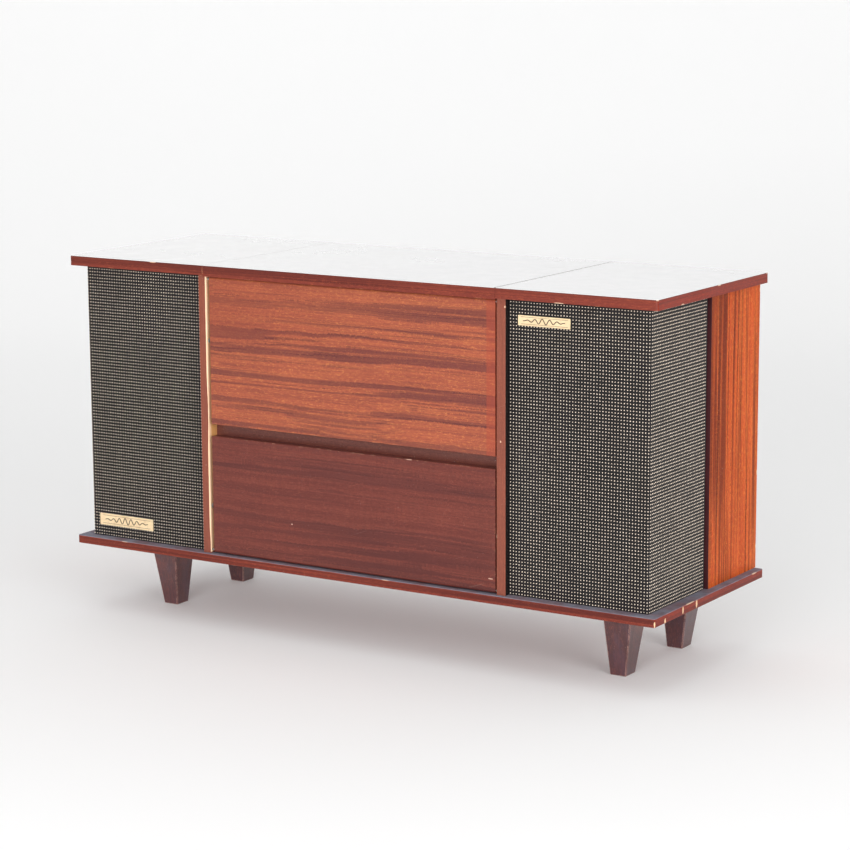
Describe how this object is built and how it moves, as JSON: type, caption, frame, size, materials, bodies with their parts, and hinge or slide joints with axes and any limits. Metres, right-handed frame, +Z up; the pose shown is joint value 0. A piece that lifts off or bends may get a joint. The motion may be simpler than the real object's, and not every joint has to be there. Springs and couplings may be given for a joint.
{
  "type": "radio phonograph console",
  "caption": "Low mahogany radio phonograph console with wrap-around speaker cloth bays, a hinged lid over a record player, two hinged front flaps and tapered legs.",
  "frame": {"origin": "on the floor, under the middle of the cabinet's bounding box", "axes": "+X to the right seen from the front, +Y towards the back, +Z up"},
  "size_m": [1.2, 0.414, 0.66],
  "materials": {
    "veneer": "clear gloss lacquer",
    "white_top": "gloss laminate on the face",
    "raw_wood": "sawn",
    "leg_wood": "dark stain, gloss",
    "hardboard": "matte",
    "cloth": "black and cream weave",
    "badge": "satin",
    "steel": "plated",
    "speaker": "satin",
    "glass": "clear",
    "chassis": "zinc grey",
    "deck_paint": "hammered enamel",
    "black": "matte",
    "ivory": "gloss",
    "brown": "gloss",
    "alu": "turned",
    "rubber": "matte",
    "red": "gloss"
  },
  "bodies": {
    "cabinet": {"base_board": "veneer", "top_board_left": "white_top", "top_board_right": "white_top", "divider_left": "veneer", "divider_right": "veneer", "side_panel_left": "veneer", "side_panel_right": "veneer", "shelf_board": "veneer", "rear_rail": "raw_wood", "back_cover": "hardboard", "back_cover_screws": "steel", "baffle_left": "raw_wood", "baffle_right": "raw_wood", "grille_cloth_left": "cloth", "grille_cloth_right": "cloth", "badge_left": "badge", "badge_right": "badge", "loudspeaker_left": "speaker", "loudspeaker_right": "speaker", "leg_front_left": "leg_wood", "leg_front_right": "leg_wood", "leg_back_left": "leg_wood", "leg_back_right": "leg_wood", "leg_bolts": "steel", "deck_board": "raw_wood", "radio_fascia": "veneer", "dial_glass": "glass", "radio_chassis": "chassis", "mains_transformer": "speaker", "valves": "glass", "turntable_plate": "deck_paint", "turntable_motor": "chassis", "lid_hinge_fixed_leaf": "steel", "flap_pivot_pins": "steel", "stay_pins": "steel", "flap_catch": "steel", "mains_cable": "brown"},
    "lid": {"lid_board": "white_top", "lid_hinge_moving_leaf": "steel", "lid_stay_bracket": "steel"},
    "lid_stay": {"lid_stay_arm": "steel"},
    "upper_flap": {"upper_flap": "veneer"},
    "upper_stay": {"upper_stay_arm": "steel"},
    "lower_flap": {"lower_flap": "veneer"},
    "lower_stay": {"lower_stay_arm": "steel"},
    "platter": {"platter": "alu", "platter_mat": "rubber"},
    "idler": {"idler_wheel": "rubber"},
    "pulley": {"motor_pulley": "steel"},
    "turret": {"tonearm_turret": "alu"},
    "tonearm": {"tonearm": "ivory"},
    "lever": {"speed_lever": "ivory"},
    "tuning": {"tuning_knob": "ivory"},
    "pointer": {"dial_pointer": "red"},
    "volume": {"volume_knob": "ivory"},
    "tone": {"tone_knob": "ivory"},
    "button_1": {"push_button_1": "ivory"},
    "button_2": {"push_button_2": "ivory"},
    "button_3": {"push_button_3": "ivory"},
    "button_4": {"push_button_4": "ivory"}
  },
  "joints": [
    {"name": "lid_open", "type": "hinge", "parent": "cabinet", "child": "lid", "pos_m": [0, 0.204, 0.642], "axis": [-1, 0, 0], "range_deg": [0, 82]},
    {"name": "lid_stay_turn", "type": "hinge", "parent": "lid", "child": "lid_stay", "pos_m": [-0.2954, 0.0543, 0.63], "axis": [-1, 0, 0], "range_deg": [-41.5, 0]},
    {"name": "upper_flap_open", "type": "hinge", "parent": "cabinet", "child": "upper_flap", "pos_m": [0, -0.195, 0.635], "axis": [-1, 0, 0], "range_deg": [0, 90]},
    {"name": "upper_stay_turn", "type": "hinge", "parent": "upper_flap", "child": "upper_stay", "pos_m": [-0.2954, -0.191, 0.525], "axis": [-1, 0, 0], "range_deg": [-45.5, 0]},
    {"name": "lower_flap_open", "type": "hinge", "parent": "cabinet", "child": "lower_flap", "pos_m": [0, -0.195, 0.146], "axis": [1, 0, 0], "range_deg": [0, 90]},
    {"name": "lower_stay_turn", "type": "hinge", "parent": "lower_flap", "child": "lower_stay", "pos_m": [-0.2954, -0.191, 0.226], "axis": [1, 0, 0], "range_deg": [-45.5, 0]},
    {"name": "platter_spin", "type": "hinge", "parent": "cabinet", "child": "platter", "pos_m": [-0.06, 0.025, 0.588], "axis": [0, 0, 1], "continuous": true},
    {"name": "idler_spin", "type": "hinge", "parent": "cabinet", "child": "idler", "pos_m": [-0.10787, 0.10792, 0.586], "axis": [0, 0, 1], "continuous": true},
    {"name": "pulley_spin", "type": "hinge", "parent": "cabinet", "child": "pulley", "pos_m": [-0.12236, 0.08724, 0.584], "axis": [0, 0, 1], "continuous": true},
    {"name": "tonearm_swing", "type": "hinge", "parent": "cabinet", "child": "turret", "pos_m": [0.13, 0.125, 0.592], "axis": [0, 0, -1], "range_deg": [0, 47]},
    {"name": "tonearm_lift", "type": "hinge", "parent": "turret", "child": "tonearm", "pos_m": [0.13, 0.125, 0.612], "axis": [-1, 0, 0], "range_deg": [0, 6]},
    {"name": "speed_select", "type": "hinge", "parent": "cabinet", "child": "lever", "pos_m": [0.166, -0.07, 0.575], "axis": [0, 0, 1], "range_deg": [-30, 30]},
    {"name": "tuning_turn", "type": "hinge", "parent": "cabinet", "child": "tuning", "pos_m": [0.226, -0.162, 0.418], "axis": [0, 1, 0], "range_deg": [-720, 720]},
    {"name": "pointer_slide", "type": "slide", "parent": "cabinet", "child": "pointer", "axis": [1, 0, 0], "range_m": [-0.151, 0.151]},
    {"name": "volume_turn", "type": "hinge", "parent": "cabinet", "child": "volume", "pos_m": [-0.232, -0.162, 0.418], "axis": [0, 1, 0], "range_deg": [-150, 150]},
    {"name": "tone_turn", "type": "hinge", "parent": "cabinet", "child": "tone", "pos_m": [-0.15, -0.162, 0.418], "axis": [0, 1, 0], "range_deg": [-150, 150]},
    {"name": "push_1", "type": "slide", "parent": "cabinet", "child": "button_1", "axis": [0, 1, 0], "range_m": [0, 0.005], "stiffness_N_per_m": 60, "springref_m": -0.002},
    {"name": "push_2", "type": "slide", "parent": "cabinet", "child": "button_2", "axis": [0, 1, 0], "range_m": [0, 0.005], "stiffness_N_per_m": 60, "springref_m": -0.002},
    {"name": "push_3", "type": "slide", "parent": "cabinet", "child": "button_3", "axis": [0, 1, 0], "range_m": [0, 0.005], "stiffness_N_per_m": 60, "springref_m": -0.002},
    {"name": "push_4", "type": "slide", "parent": "cabinet", "child": "button_4", "axis": [0, 1, 0], "range_m": [0, 0.005], "stiffness_N_per_m": 60, "springref_m": -0.002}
  ],
  "couplings": [
    {"joint": "lid_stay_turn", "follows": "lid_open", "ratio": -0.5},
    {"joint": "upper_stay_turn", "follows": "upper_flap_open", "ratio": -0.5},
    {"joint": "lower_stay_turn", "follows": "lower_flap_open", "ratio": -0.5},
    {"joint": "idler_spin", "follows": "platter_spin", "ratio": 5.3636},
    {"joint": "pulley_spin", "follows": "platter_spin", "ratio": -39.333},
    {"joint": "pointer_slide", "follows": "tuning_turn", "m_per_rad": 0.011937}
  ]
}
